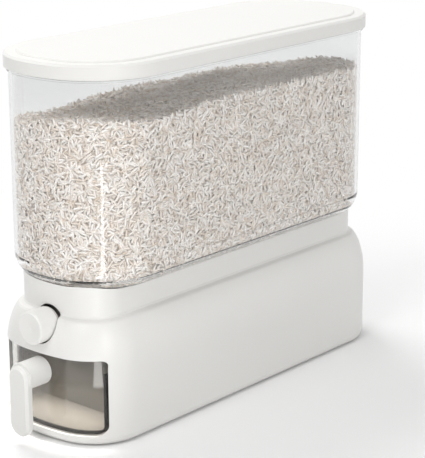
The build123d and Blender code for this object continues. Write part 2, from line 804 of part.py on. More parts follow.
def lid_gasket():
    """Soft ring round the plug: a band with two lips towards the hopper's wall."""
    plug_inset = hopper_inset + hopper_wall + plug_gap
    band_inset = plug_inset - joint_gap
    lip_inset = hopper_inset + hopper_wall + seat_gap
    inner = lid_outline(band_inset)
    band = ring(lid_outline(band_inset - plug_gap / 3), inner, gasket_z, gasket_z + gasket_height)
    lip_height = gasket_height / 4
    for z in (gasket_z, gasket_z + gasket_height - lip_height):
        band += ring(lid_outline(lip_inset), inner, z, z + lip_height)
    return band


# ================================================================ write the pieces
pieces = {
    "base_shell": base_shell,
    "neck_ring": neck_ring,
    "base_plate": base_plate,
    "foot_pads": foot_pads,
    "base_screws": base_screws,
    "drawer_bay": drawer_bay,
    "hopper_funnel": hopper_funnel,
    "funnel_seal": funnel_seal,
    "gate_guide": gate_guide,
    "guide_screws": guide_screws,
    "gate_slide": gate_slide,
    "push_knob": push_knob,
    "knob_screw": knob_screw,
    "spring_pin": spring_pin,
    "return_spring": return_spring,
    "drawer_front": drawer_front,
    "drawer_tray": drawer_tray,
    "drawer_seal": drawer_seal,
    "drawer_handle": drawer_handle,
    "handle_screw": handle_screw,
    "hopper": hopper,
    "lid": lid,
    "lid_gasket": lid_gasket,
}

os.makedirs("parts", exist_ok=True)
for name, make in pieces.items():
    export_step(Pos(0, -origin_y, 0) * make(), f"parts/{name}.step")
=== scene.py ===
"""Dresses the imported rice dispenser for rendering: finishes, a fill of rice, a plain studio and a camera.

Laid out as an add-on and run as a script.  Every length is in metres unless its name ends in
_mm.  The front, with the knob and the drawer, faces -Y.
"""
from math import radians

import bpy
import numpy as np
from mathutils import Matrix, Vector


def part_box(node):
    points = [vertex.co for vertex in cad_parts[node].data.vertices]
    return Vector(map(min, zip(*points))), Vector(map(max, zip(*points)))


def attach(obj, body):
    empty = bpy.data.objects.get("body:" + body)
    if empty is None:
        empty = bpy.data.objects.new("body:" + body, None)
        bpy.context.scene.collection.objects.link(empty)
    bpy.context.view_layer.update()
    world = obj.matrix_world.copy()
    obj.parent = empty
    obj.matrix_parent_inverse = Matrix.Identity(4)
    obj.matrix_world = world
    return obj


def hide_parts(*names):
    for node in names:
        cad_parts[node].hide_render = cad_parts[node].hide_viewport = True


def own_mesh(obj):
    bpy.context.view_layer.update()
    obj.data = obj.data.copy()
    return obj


bl_info = {
    "name": "Rice dispenser dressing",
    "version": (1, 0, 0),
    "blender": (4, 5, 0),
    "location": "3D View > Sidebar > Dispenser",
    "description": "Finishes, rice and studio for a countertop rice dispenser with a drawer",
    "category": "Object",
}

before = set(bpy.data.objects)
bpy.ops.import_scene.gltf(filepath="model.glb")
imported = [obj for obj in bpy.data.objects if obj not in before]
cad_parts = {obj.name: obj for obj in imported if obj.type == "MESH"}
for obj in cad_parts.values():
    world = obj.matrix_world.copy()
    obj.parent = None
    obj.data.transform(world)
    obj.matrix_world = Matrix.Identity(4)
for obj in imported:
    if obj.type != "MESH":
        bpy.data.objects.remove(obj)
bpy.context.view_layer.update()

MM = 0.001

# The plan outlines of the base and of the lid: straight sides, bowed ends and round corners.
BASE_BOW_RADIUS = 148 * MM
BASE_CORNER_RADIUS = 41 * MM
LID_BOW_RADIUS = 101 * MM
LID_CORNER_RADIUS = 56 * MM

# The hopper's inside, measured in from the lid's outline, and its collar, from the base's.
HOPPER_INNER_INSET = 5.6 * MM
HOPPER_FLOOR_Z = 113.2 * MM
HOPPER_FOOT_RADIUS = 14.8 * MM
COLLAR_INNER_INSET = 18.85 * MM

# The heap of rice: its rise towards the near side, long mounds, and smaller ones that cross them.
HEAP_SLOPE = 0.085
MOUND_HEIGHT = 2.2 * MM
MOUND_LENGTH = 31 * MM
MOUND_START = 0.7
RIPPLE_HEIGHT = 1.6 * MM
RIPPLE_WIDTH = 17 * MM
RIPPLE_LENGTH = 23 * MM

# One grain: a sphere of this many segments and rings, drawn out to its sizes.  What lies more
# than this share of its length from its middle is bent down by this share of its width.
GRAIN_SEGMENTS = 4
GRAIN_RINGS = 4
GRAIN_TIP = 0.45
GRAIN_BEND = 0.08

# Many grains: the least and the greatest size, the two shape values of the spread of tones, and
# the share of its length times its width that a grain covers.
GRAIN_SIZES = (0.9, 1.08)
GRAIN_TONES = (2.4, 1.4)
GRAIN_COVER = 0.8

# Steps across a square that never line up, so that places taken in turn cover it evenly, and
# how far each place may stray, as a share of the grains' spacing.
SPREAD_STEPS = (0.7548776662, 0.5698402910)
SPREAD_JITTER = 0.3


# ---------------------------------------------------------------- small tools
def linear(code):
    """Linear colour, with an alpha of 1, of an sRGB hex code."""
    channels = [int(code[i : i + 2], 16) / 255 for i in (1, 3, 5)]
    return tuple(c / 12.92 if c <= 0.04045 else ((c + 0.055) / 1.055) ** 2.4 for c in channels) + (1.0,)


def shaded(colour, share):
    """A colour with this share of its light, still opaque."""
    return tuple(min(share * c, 1) for c in colour[:3]) + (1,)


def per_mm(spacing_mm):
    """Texture scale on Object coordinates for a feature of this size."""
    return 1 / (spacing_mm * MM)


def add_node(tree, kind, settings=None, links=None, **properties):
    """Add a shader node: settings are socket values and links are the outputs that feed its inputs."""
    node = tree.nodes.new(kind)
    for name, value in properties.items():
        setattr(node, name, value)
    for socket, value in (settings or {}).items():
        node.inputs[socket].default_value = value
    for socket, source in (links or {}).items():
        tree.links.new(source, node.inputs[socket])
    return node


def new_material(name):
    """An empty material and its node tree."""
    material = bpy.data.materials.new(name)
    material.use_nodes = True
    material.node_tree.nodes.clear()
    return material, material.node_tree


def give(material, *node_names):
    """Put a material on CAD nodes."""
    for name in node_names:
        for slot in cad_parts[name].material_slots:
            slot.material = material


def deselect_all():
    """Leave edit mode and deselect every object."""
    if bpy.context.mode != "OBJECT":
        bpy.ops.object.mode_set(mode="OBJECT")
    bpy.ops.object.select_all(action="DESELECT")


# ---------------------------------------------------------------- plan outlines
class Plan:
    """A bowed outline about the object's long axis.

    Places are counted along a quarter of it, from the middle of the +X side to the middle of
    the +Y end."""

    def __init__(self, node, bow_radius, corner_radius):
        low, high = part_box(node)
        self.width = (high.x - low.x) / 2
        self.length = (high.y - low.y) / 2
        self.middle_y = (high.y + low.y) / 2
        self.bow = bow_radius
        self.corner = corner_radius
        self.bow_centre = self.length - bow_radius
        self.corner_x = self.width - corner_radius
        reach = bow_radius - corner_radius
        self.corner_y = self.bow_centre + np.sqrt(reach**2 - self.corner_x**2)
        self.turn = np.arccos(self.corner_x / reach)
        self.side_run = self.corner_y
        self.corner_run = self.corner * self.turn
        self.bow_run = self.bow * (np.pi / 2 - self.turn)
        self.quarter_run = self.side_run + self.corner_run + self.bow_run

    def place(self, run, inset):
        """Points and outward normals, as arrays, at distances along the quarter and insets from it."""
        on_side = run < self.side_run
        on_corner = ~on_side & (run < self.side_run + self.corner_run)
        corner_angle = (run - self.side_run) / self.corner
        bow_angle = self.turn + (run - self.side_run - self.corner_run) / self.bow
        angle = np.where(on_side, 0, np.where(on_corner, corner_angle, bow_angle))
        radius = np.where(on_side | on_corner, self.corner, self.bow) - inset
        centre_x = np.where(on_side | on_corner, self.corner_x, 0)
        centre_y = np.where(on_side, run, np.where(on_corner, self.corner_y, self.bow_centre))
        normal = np.stack([np.cos(angle), np.sin(angle)], axis=-1)
        point = np.stack([centre_x, centre_y], axis=-1) + radius[..., None] * normal
        return point, normal

    def half_length(self, x, inset):
        """Distance from the middle to the end of the inset outline, at each x."""
        bow = self.bow - inset
        corner = self.corner - inset
        tangent_x = bow * np.cos(self.turn)
        on_bow = np.abs(x) <= tangent_x
        bow_reach = self.bow_centre + np.sqrt(np.maximum(bow**2 - x**2, 0))
        corner_side = np.clip(np.abs(x) - self.corner_x, 0, corner)
        corner_reach = self.corner_y + np.sqrt(corner**2 - corner_side**2)
        return np.where(on_bow, bow_reach, corner_reach)


base_plan = Plan("base_shell", BASE_BOW_RADIUS, BASE_CORNER_RADIUS)
lid_plan = Plan("lid", LID_BOW_RADIUS, LID_CORNER_RADIUS)


# ---------------------------------------------------------------- settings
def colour_property(name, code, description):
    """A colour setting whose default is an sRGB hex code."""
    return bpy.props.FloatVectorProperty(
        name=name, description=description, subtype="COLOR", size=4, min=0, max=1, default=linear(code)
    )


class DispenserFinish(bpy.types.PropertyGroup):
    shell: colour_property("Shell", "#EEEDEA", "White ABS of the base, neck, lid, knob and handle")
    inner: colour_property("Inner parts", "#CFCBC6", "White plastic of the funnel, guide, gate and plate")
    # painted shade: the bay's plastic is given grey for the shade inside the enclosed bay
    bay: colour_property("Drawer bay", "#9A9794", "Grey of the drawer's bay, as the smoked panel shows it")
    hopper: colour_property("Hopper", "#F2F3F3", "Clear plastic of the hopper")
    smoked: colour_property("Drawer front", "#DCD9D3", "Smoked clear plastic of the drawer's panel")
    tray: colour_property("Tray", "#FAF8F4", "Pale clear plastic of the tray")
    seal: colour_property("Drawer seal", "#141414", "Black strip between the panel and the tray")
    silicone: colour_property("Silicone", "#D5D7D7", "Gasket of the lid and seal of the funnel")
    foot: colour_property("Feet", "#5A5A5A", "Rubber of the feet")
    steel: colour_property("Steel", "#BFC0C2", "Screws, pin and spring")


class DispenserRice(bpy.types.PropertyGroup):
    grain_length: bpy.props.FloatProperty(
        name="Grain length", description="Length of one grain", default=6.9 * MM, unit="LENGTH"
    )
    grain_width: bpy.props.FloatProperty(
        name="Grain width", description="Width of one grain", default=2.0 * MM, unit="LENGTH"
    )
    grain_thickness: bpy.props.FloatProperty(
        name="Grain thickness", description="Thickness of one grain", default=1.7 * MM, unit="LENGTH"
    )
    fill_height: bpy.props.FloatProperty(
        name="Fill height", description="Mean height of the rice over the worktop", default=229 * MM,
        unit="LENGTH",
    )
    wall_depth: bpy.props.FloatProperty(
        name="Wall depth", description="Depth of the loose grains along the walls", default=3.0 * MM,
        unit="LENGTH",
    )
    wall_layers: bpy.props.FloatProperty(
        name="Wall layers", description="How many times the grains cover the walls", default=3.3, min=0
    )
    top_layers: bpy.props.FloatProperty(
        name="Top layers", description="How many times the grains cover the heap", default=2.5, min=0
    )
    foot_layers: bpy.props.FloatProperty(
        name="Foot layers", description="How many times the grains cover the underside", default=1.8, min=0
    )
    pale: colour_property("Pale grain", "#FBF6F2", "Lightest grains")
    dark: colour_property("Dark grain", "#D5BFA9", "Darkest grains")
    # painted shade: the rice deep between the outer grains is given this darker colour
    depths: colour_property("Depths", "#C9B8A8", "Rice seen between the outer grains")
    seed: bpy.props.IntProperty(name="Seed", description="Start of the random order", default=11)


class DispenserStudio(bpy.types.PropertyGroup):
    camera_place: bpy.props.FloatVectorProperty(
        name="Camera place", description="Where the camera stands", subtype="TRANSLATION", unit="LENGTH",
        default=(0.8308, -0.9453, 0.4853),
    )
    camera_turn: bpy.props.FloatVectorProperty(
        name="Camera turn", description="Rotation of the camera", subtype="EULER", unit="ROTATION",
        default=(radians(73.81), radians(0.12), radians(40.41)),
    )
    lens_mm: bpy.props.FloatProperty(name="Lens", description="Focal length in millimetres", default=133.4)
    key_power: bpy.props.FloatProperty(
        name="Key light", description="Power of the large lamp at the left", default=20, unit="POWER"
    )
    top_power: bpy.props.FloatProperty(
        name="Top light", description="Power of the lamp overhead", default=5, unit="POWER"
    )
    fill_power: bpy.props.FloatProperty(
        name="Fill light", description="Power of the lamp beside the camera", default=5.2, unit="POWER"
    )
    front_power: bpy.props.FloatProperty(
        name="Front light", description="Power of the lamp high at the front", default=11, unit="POWER"
    )
    strip_power: bpy.props.FloatProperty(
        name="Strip light", description="Power of the strip on the floor that shines in the corners",
        default=0.45, unit="POWER",
    )
    drawer_power: bpy.props.FloatProperty(
        name="Drawer light", description="Power of the small lamp over the tray", default=0.045,
        unit="POWER",
    )
    ambient: bpy.props.FloatProperty(
        name="Ambient", description="Strength of the even light from all sides", default=0.47, min=0
    )
    floor: colour_property("Floor", "#FFFFFF", "Floor and background")


# ---------------------------------------------------------------- plastics, rubber and metal
def moulded_plastic(name, colour, roughness, ior, grain_mm, relief_mm):
    """Opaque injection-moulded plastic.

    The mould gives it a fine even texture and a very slight unevenness of gloss."""
    flow_mm = 45
    material, tree = new_material(name)
    place = add_node(tree, "ShaderNodeTexCoord").outputs["Object"]
    texture = add_node(
        tree, "ShaderNodeTexNoise", {"Scale": per_mm(grain_mm), "Detail": 3.0, "Roughness": 0.6},
        {"Vector": place},
    )
    relief = add_node(
        tree, "ShaderNodeBump", {"Strength": 0.35, "Distance": relief_mm * MM},
        {"Height": texture.outputs["Fac"]},
    )
    flow = add_node(
        tree, "ShaderNodeTexNoise", {"Scale": per_mm(flow_mm), "Detail": 2.0}, {"Vector": place}
    )
    tone = add_node(tree, "ShaderNodeValToRGB", links={"Fac": flow.outputs["Fac"]})
    tone.color_ramp.elements[0].color = shaded(colour, 0.975)
    tone.color_ramp.elements[1].color = shaded(colour, 1)
    gloss = add_node(
        tree, "ShaderNodeMapRange", {"To Min": roughness * 0.9, "To Max": roughness * 1.15},
        {"Value": flow.outputs["Fac"]},
    )
    surface = add_node(
        tree, "ShaderNodeBsdfPrincipled", {"IOR": ior},
        {
            "Base Color": tone.outputs["Color"],
            "Roughness": gloss.outputs["Result"],
            "Normal": relief.outputs["Normal"],
        },
    )
    add_node(tree, "ShaderNodeOutputMaterial", links={"Surface": surface.outputs["BSDF"]})
    return material


def clear_plastic(name, colour, roughness, ior, wave_mm):
    """Clear injection-moulded plastic, polished on both faces.

    Long shallow waves from the mould unsettle its reflections a little, and lamps shine through it."""
    material, tree = new_material(name)
    place = add_node(tree, "ShaderNodeTexCoord").outputs["Object"]
    waves = add_node(
        tree, "ShaderNodeTexNoise", {"Scale": per_mm(wave_mm), "Detail": 1.0}, {"Vector": place}
    )
    relief = add_node(
        tree, "ShaderNodeBump", {"Strength": 0.08, "Distance": 0.4 * MM}, {"Height": waves.outputs["Fac"]}
    )
    polish = add_node(
        tree, "ShaderNodeMapRange", {"To Min": roughness * 0.7, "To Max": roughness * 1.3},
        {"Value": waves.outputs["Fac"]},
    )
    surface = add_node(
        tree, "ShaderNodeBsdfPrincipled", {"Base Color": colour, "IOR": ior, "Transmission Weight": 1.0},
        {"Roughness": polish.outputs["Result"], "Normal": relief.outputs["Normal"]},
    )
    # a lamp's light is tinted at both faces, so each takes the root of the colour
    lamp_way = add_node(tree, "ShaderNodeBsdfTransparent", {"Color": tuple(c**0.5 for c in colour)})
    rays = add_node(tree, "ShaderNodeLightPath")
    both = add_node(tree, "ShaderNodeMixShader", links={"Fac": rays.outputs["Is Shadow Ray"]})
    tree.links.new(surface.outputs["BSDF"], both.inputs[1])
    tree.links.new(lamp_way.outputs["BSDF"], both.inputs[2])
    add_node(tree, "ShaderNodeOutputMaterial", links={"Surface": both.outputs["Shader"]})
    return material


def soft_polymer(name, colour, roughness, grain_mm):
    """Moulded silicone or rubber: matt, with a fine powdery bloom that lightens it in patches."""
    material, tree = new_material(name)
    place = add_node(tree, "ShaderNodeTexCoord").outputs["Object"]
    bloom = add_node(
        tree, "ShaderNodeTexNoise", {"Scale": per_mm(grain_mm), "Detail": 4.0}, {"Vector": place}
    )
    tone = add_node(tree, "ShaderNodeValToRGB", links={"Fac": bloom.outputs["Fac"]})
    tone.color_ramp.elements[0].color = shaded(colour, 0.85)
    tone.color_ramp.elements[1].color = shaded(colour, 1.1)
    relief = add_node(
        tree, "ShaderNodeBump", {"Strength": 0.3, "Distance": 0.05 * MM}, {"Height": bloom.outputs["Fac"]}
    )
    surface = add_node(
        tree, "ShaderNodeBsdfPrincipled", {"Roughness": roughness, "IOR": 1.43},
        {"Base Color": tone.outputs["Color"], "Normal": relief.outputs["Normal"]},
    )
    add_node(tree, "ShaderNodeOutputMaterial", links={"Surface": surface.outputs["BSDF"]})
    return material


def plated_steel(name, colour, roughness, streak_mm):
    """Zinc-plated or drawn steel: fine streaks along the work, brighter where it was rubbed."""
    material, tree = new_material(name)
    place = add_node(tree, "ShaderNodeTexCoord").outputs["Object"]
    stretched = add_node(tree, "ShaderNodeMapping", {"Scale": (1, 0.2, 1)}, {"Vector": place})
    streaks = add_node(
        tree, "ShaderNodeTexNoise", {"Scale": per_mm(streak_mm), "Detail": 2.0},
        {"Vector": stretched.outputs["Vector"]},
    )
    tone = add_node(tree, "ShaderNodeValToRGB", links={"Fac": streaks.outputs["Fac"]})
    tone.color_ramp.elements[0].color = shaded(colour, 0.8)
    tone.color_ramp.elements[1].color = shaded(colour, 1)
    dulled = add_node(
        tree, "ShaderNodeMapRange", {"To Min": roughness * 0.8, "To Max": roughness * 1.4},
        {"Value": streaks.outputs["Fac"]},
    )
    surface = add_node(
        tree, "ShaderNodeBsdfPrincipled", {"Metallic": 1.0},
        {"Base Color": tone.outputs["Color"], "Roughness": dulled.outputs["Result"]},
    )
    add_node(tree, "ShaderNodeOutputMaterial", links={"Surface": surface.outputs["BSDF"]})
    return material


class DISPENSER_OT_shells(bpy.types.Operator):
    """Give the base, its neck, the lid, the knob and the handle their white ABS"""

    bl_idname = "dispenser.shells"
    bl_label = "White shells"

    def execute(self, context):
        colours = context.scene.dispenser_finish
        # ABS with a fine satin texture, which softens the lamps into broad sheens.  The real
        # texture is about 0.1 mm, too fine to show, so it is drawn at 0.9 mm.
        satin = moulded_plastic(
            "ABS moulded satin white", colours.shell, roughness=0.33, ior=1.54, grain_mm=0.9, relief_mm=0.02
        )
        give(satin, "base_shell", "neck_ring", "lid", "push_knob", "drawer_handle")
        return {"FINISHED"}


class DISPENSER_OT_inner_parts(bpy.types.Operator):
    """Give the bay, funnel, guide, gate and base plate their plain plastic, the bay's in grey as painted
    shade
    """

    bl_idname = "dispenser.inner_parts"
    bl_label = "Inner parts"

    def execute(self, context):
        colours = context.scene.dispenser_finish
        # polypropylene straight from a spark-eroded mould: matt, with a coarser grain than the shells
        matt = {"roughness": 0.5, "ior": 1.49, "grain_mm": 1.2, "relief_mm": 0.04}
        white = moulded_plastic("Polypropylene moulded matt white", colours.inner, **matt)
        give(white, "base_plate", "hopper_funnel", "gate_guide", "gate_slide")
        # the same polypropylene, painted grey as shade inside the enclosed bay behind the smoked panel
        grey = moulded_plastic("Polypropylene moulded matt painted shade grey", colours.bay, **matt)
        give(grey, "drawer_bay")
        return {"FINISHED"}


class DISPENSER_OT_clear_parts(bpy.types.Operator):
    """Give the hopper, the drawer's panel and the tray their clear plastics"""

    bl_idname = "dispenser.clear_parts"
    bl_label = "Clear parts"

    def execute(self, context):
        colours = context.scene.dispenser_finish
        # polystyrene from a polished mould: water-clear, bright at its rounded corners
        clear = clear_plastic(
            "Polystyrene moulded clear", colours.hopper, roughness=0.03, ior=1.52, wave_mm=60
        )
        give(clear, "hopper")
        # the same with a smoke tint, which darkens what stands behind the panel
        smoked = clear_plastic(
            "Polystyrene moulded smoked", colours.smoked, roughness=0.04, ior=1.52, wave_mm=40
        )
        give(smoked, "drawer_front")
        # polypropylene of a clear grade: duller reflections than the panel's, and nearly no tint
        dull = clear_plastic(
            "Polypropylene moulded clear", colours.tray, roughness=0.08, ior=1.49, wave_mm=30
        )
        give(dull, "drawer_tray")
        return {"FINISHED"}


class DISPENSER_OT_soft_parts(bpy.types.Operator):
    """Give the seals and feet their silicone and rubber"""

    bl_idname = "dispenser.soft_parts"
    bl_label = "Seals and feet"

    def execute(self, context):
        colours = context.scene.dispenser_finish
        # a black strip between the panel and the tray, with hardly any shine
        black_strip = soft_polymer("Black strip matt", colours.seal, roughness=0.85, grain_mm=1.0)
        give(black_strip, "drawer_seal")
        # silicone: milky grey with a soft shine
        silicone = soft_polymer(
            "Silicone moulded translucent", colours.silicone, roughness=0.55, grain_mm=3.0
        )
        give(silicone, "funnel_seal", "lid_gasket")
        # rubber: matt mid-grey under the base
        rubber = soft_polymer("Rubber moulded grey", colours.foot, roughness=0.8, grain_mm=2.0)
        give(rubber, "foot_pads")
        return {"FINISHED"}


class DISPENSER_OT_metal_parts(bpy.types.Operator):
    """Give the screws and the pin their steel"""

    bl_idname = "dispenser.metal_parts"
    bl_label = "Screws and pin"

    def execute(self, context):
        colours = context.scene.dispenser_finish
        # zinc plate: bright but softly blurred, with fine streaks
        zinc = plated_steel("Steel zinc-plated", colours.steel, roughness=0.35, streak_mm=0.8)
        give(zinc, "base_screws", "guide_screws", "knob_screw", "handle_screw", "spring_pin")
        return {"FINISHED"}


class DISPENSER_OT_spring(bpy.types.Operator):
    """Model the return spring as a smooth copy of the CAD spring, in bright steel, riding on the base"""

    bl_idname = "dispenser.spring"
    bl_label = "Return spring"

    press_stroke = 13 * MM
    weld = MM / 1000
    crease = radians(65)

    def execute(self, context):
        colours = context.scene.dispenser_finish
        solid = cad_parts["return_spring"]
        spring = bpy.data.objects.new("return_spring_wire", solid.data.copy())
        context.scene.collection.objects.link(spring)
        deselect_all()
        spring.select_set(True)
        context.view_layer.objects.active = spring
        bpy.ops.object.mode_set(mode="EDIT")
        bpy.ops.mesh.select_all(action="SELECT")
        bpy.ops.mesh.remove_doubles(threshold=self.weld)
        bpy.ops.object.mode_set(mode="OBJECT")
        bpy.ops.object.shade_smooth_by_angle(angle=self.crease)
        # drawn wire left bright: a sharper shine than the zinc of the screws
        bright = plated_steel("Spring steel drawn bright", colours.steel, roughness=0.22, streak_mm=0.5)
        spring.data.materials.clear()
        spring.data.materials.append(bright)
        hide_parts("return_spring")
        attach(spring, "base")
        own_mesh(spring)
        return {"FINISHED"}


# ---------------------------------------------------------------- rice
def rice_height(x, y, fill):
    """Height of the heap: higher along the near side, with a few soft mounds."""
    mounds = MOUND_HEIGHT * np.sin(y / MOUND_LENGTH + MOUND_START)
    ripples = RIPPLE_HEIGHT * np.sin(x / RIPPLE_WIDTH + y / RIPPLE_LENGTH)
    return fill + HEAP_SLOPE * x + (mounds + ripples)


def grain_shape(rice):
    """One grain lying along X: a slim, slightly bent spindle, as vertex and triangle arrays."""
    deselect_all()
    bpy.ops.mesh.primitive_uv_sphere_add(segments=GRAIN_SEGMENTS, ring_count=GRAIN_RINGS, radius=0.5)
    grain = bpy.context.object
    bpy.ops.object.mode_set(mode="EDIT")
    bpy.ops.transform.rotate(value=radians(90), orient_axis="Y", center_override=(0, 0, 0))
    sizes = (rice.grain_length, rice.grain_width, rice.grain_thickness)
    bpy.ops.transform.resize(value=sizes, center_override=(0, 0, 0))
    bpy.ops.mesh.quads_convert_to_tris()
    bpy.ops.mesh.select_all(action="DESELECT")
    bpy.ops.object.mode_set(mode="OBJECT")
    for vertex in grain.data.vertices:
        vertex.select = abs(vertex.co.x) > GRAIN_TIP * rice.grain_length
    bpy.ops.object.mode_set(mode="EDIT")
    bpy.ops.transform.translate(value=(0, 0, -GRAIN_BEND * rice.grain_width))
    bpy.ops.object.mode_set(mode="OBJECT")
    points = np.empty(len(grain.data.vertices) * 3)
    grain.data.vertices.foreach_get("co", points)
    corners = np.empty(len(grain.data.polygons) * 3, np.int32)
    grain.data.polygons.foreach_get("vertices", corners)
    bpy.data.objects.remove(grain)
    return points.reshape(-1, 3), corners.reshape(-1, 3)


def even_spread(count, rng):
    """Pairs between 0 and 1 that cover the square more evenly than chance would."""
    jitter = rng.uniform(0, SPREAD_JITTER, (count, 2)) / np.sqrt(count)
    steps = np.arange(count)[:, None] * SPREAD_STEPS + jitter
    return (steps + rng.uniform(0, 1, 2)) % 1


def grain_frames(normals, spread, rng):
    """Axes of grains that lie on a surface: a random heading and a tilt out of the surface."""
    count = len(normals)
    # Z or X, whichever doesn't run along the normal
    helper = np.where(np.abs(normals[:, 2:]) < 0.9, [[0.0, 0.0, 1.0]], [[1.0, 0.0, 0.0]])
    side = np.cross(helper, normals)
    side /= np.linalg.norm(side, axis=1, keepdims=True)
    up = np.cross(normals, side)
    heading = rng.uniform(0, np.pi, (count, 1))
    flat = np.cos(heading) * side + np.sin(heading) * up
    tilt = rng.normal(0, spread, (count, 1))
    along = np.cos(tilt) * flat + np.sin(tilt) * normals
    across = np.cross(normals, along)
    across /= np.linalg.norm(across, axis=1, keepdims=True)
    third = np.cross(along, across)
    return np.stack([along, across, third], axis=1)


def rice_piece(name, centres, frames, painted_shades, shape, material, rng):
    """One object of many grains, each with its own tone, darkened by painted shade."""
    points, corners = shape
    size = rng.uniform(*GRAIN_SIZES, (len(centres), 1, 3))
    placed = np.einsum("nvk,nkj->nvj", points[None] * size, frames) + centres[:, None]
    offsets = np.arange(len(centres))[:, None, None] * len(points)
    triangles = (corners[None] + offsets).reshape(-1, 3)
    mesh = bpy.data.meshes.new(name)
    mesh.from_pydata(placed.reshape(-1, 3), [], triangles)
    # each grain's random tone, times its painted shade
    tones = rng.beta(*GRAIN_TONES, len(centres)) * painted_shades
    tone = mesh.attributes.new("grain_tone_and_painted_shade", "FLOAT", "POINT")
    tone.data.foreach_set("value", np.repeat(tones, len(points)))
    mesh.shade_smooth()
    mesh.materials.append(material)
    piece = bpy.data.objects.new(name, mesh)
    bpy.context.scene.collection.objects.link(piece)
    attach(piece, "hopper")


def grain_material(rice):
    """Milled white rice: pale, with a soft waxy shine.

    Each grain has its own tone, darkened by its painted shade, and faint chalky marks vary it along its
    length."""
    chalk_mm = 2.5
    chalk_share = 0.25
    material, tree = new_material("Rice grain milled")
    tone = add_node(tree, "ShaderNodeAttribute", attribute_name="grain_tone_and_painted_shade")
    place = add_node(tree, "ShaderNodeTexCoord").outputs["Object"]
    chalk = add_node(
        tree, "ShaderNodeTexNoise", {"Scale": per_mm(chalk_mm), "Detail": 2.0}, {"Vector": place}
    )
    marks = add_node(
        tree, "ShaderNodeMath", {1: chalk_share}, {0: chalk.outputs["Fac"]}, operation="MULTIPLY"
    )
    level = add_node(
        tree, "ShaderNodeMath", links={0: tone.outputs["Fac"], 1: marks.outputs[0]}, operation="ADD"
    )
    ramp = add_node(tree, "ShaderNodeValToRGB", links={"Fac": level.outputs[0]})
    ramp.color_ramp.elements[0].color = rice.dark
    ramp.color_ramp.elements[1].color = rice.pale
    surface = add_node(
        tree, "ShaderNodeBsdfPrincipled", {"Roughness": 0.45, "IOR": 1.5},
        {"Base Color": ramp.outputs["Color"]},
    )
    add_node(tree, "ShaderNodeOutputMaterial", links={"Surface": surface.outputs["BSDF"]})
    return material


def packed_rice_material(rice):
    """Rice seen deep between the outer grains, given a darker colour as painted shade: a mottle of
    grain-sized cells.
    """
    cell_mm = 2.6
    material, tree = new_material("Rice packed in shade")
    place = add_node(tree, "ShaderNodeTexCoord").outputs["Object"]
    cells = add_node(tree, "ShaderNodeTexVoronoi", {"Scale": per_mm(cell_mm)}, {"Vector": place})
    # painted shade between grains: each cell darkens towards its edge
    ramp = add_node(tree, "ShaderNodeValToRGB", links={"Fac": cells.outputs["Distance"]})
    ramp.color_ramp.elements[0].color = rice.depths
    ramp.color_ramp.elements[1].color = shaded(rice.depths, 0.7)
    surface = add_node(
        tree, "ShaderNodeBsdfPrincipled", {"Roughness": 0.7}, {"Base Color": ramp.outputs["Color"]}
    )
    add_node(tree, "ShaderNodeOutputMaterial", links={"Surface": surface.outputs["BSDF"]})
    return material


class DISPENSER_OT_rice_core(bpy.types.Operator):
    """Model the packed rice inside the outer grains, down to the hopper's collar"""

    bl_idname = "dispenser.rice_core"
    bl_label = "Packed rice"

    columns = 28
    rows = 72
    foot_steps = 3
    crease = radians(35)

    def lay(self, core, plan, inset, height):
        """Move the selected vertices to an inset outline, at a height or at a function of x and y."""
        spots = core.data.attributes["plan_spot"].data
        for vertex in core.data.vertices:
            if vertex.select:
                across, along, _ = spots[vertex.index].vector
                x = (plan.width - inset) * np.sin(across * np.pi / 2)
                y = plan.middle_y + along * plan.half_length(x, inset)
                vertex.co = (x, y, height(x, y) if callable(height) else height)

    def push_down(self):
        """Extrude the selected faces, leaving the new ones selected."""
        bpy.ops.object.mode_set(mode="EDIT")
        bpy.ops.mesh.extrude_region_move(TRANSFORM_OT_translate={"value": (0, 0, -MM)})
        bpy.ops.object.mode_set(mode="OBJECT")

    def execute(self, context):
        rice = context.scene.dispenser_rice
        deselect_all()
        bpy.ops.mesh.primitive_grid_add(x_subdivisions=self.columns, y_subdivisions=self.rows, size=2)
        core = context.object
        core.name = "rice_core"
        spots = core.data.attributes.new("plan_spot", "FLOAT_VECTOR", "POINT")
        grid = np.empty(len(core.data.vertices) * 3)
        core.data.vertices.foreach_get("co", grid)
        spots.data.foreach_set("vector", grid)
        depth = HOPPER_INNER_INSET + rice.wall_depth
        self.lay(core, lid_plan, depth, lambda x, y: rice_height(x, y, rice.fill_height) - rice.wall_depth)
        radius = HOPPER_FOOT_RADIUS - rice.wall_depth
        foot_z = HOPPER_FLOOR_Z + rice.wall_depth
        for step in range(self.foot_steps + 1):
            angle = radians(90) * step / self.foot_steps
            inset = depth + radius * (1 - np.cos(angle))
            height = foot_z + radius * (1 - np.sin(angle))
            self.push_down()
            self.lay(core, lid_plan, inset, height)
        collar = COLLAR_INNER_INSET + rice.wall_depth / 2
        for height in (foot_z - rice.wall_depth / 2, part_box("hopper")[0].z + rice.grain_width):
            self.push_down()
            self.lay(core, base_plan, collar, height)
        bpy.ops.object.mode_set(mode="EDIT")
        bpy.ops.mesh.select_all(action="SELECT")
        bpy.ops.mesh.normals_make_consistent(inside=False)
        bpy.ops.object.mode_set(mode="OBJECT")
        bpy.ops.object.shade_smooth_by_angle(angle=self.crease)
        core.data.attributes.remove(core.data.attributes["plan_spot"])
        core.data.materials.append(packed_rice_material(rice))
        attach(core, "hopper")
        return {"FINISHED"}


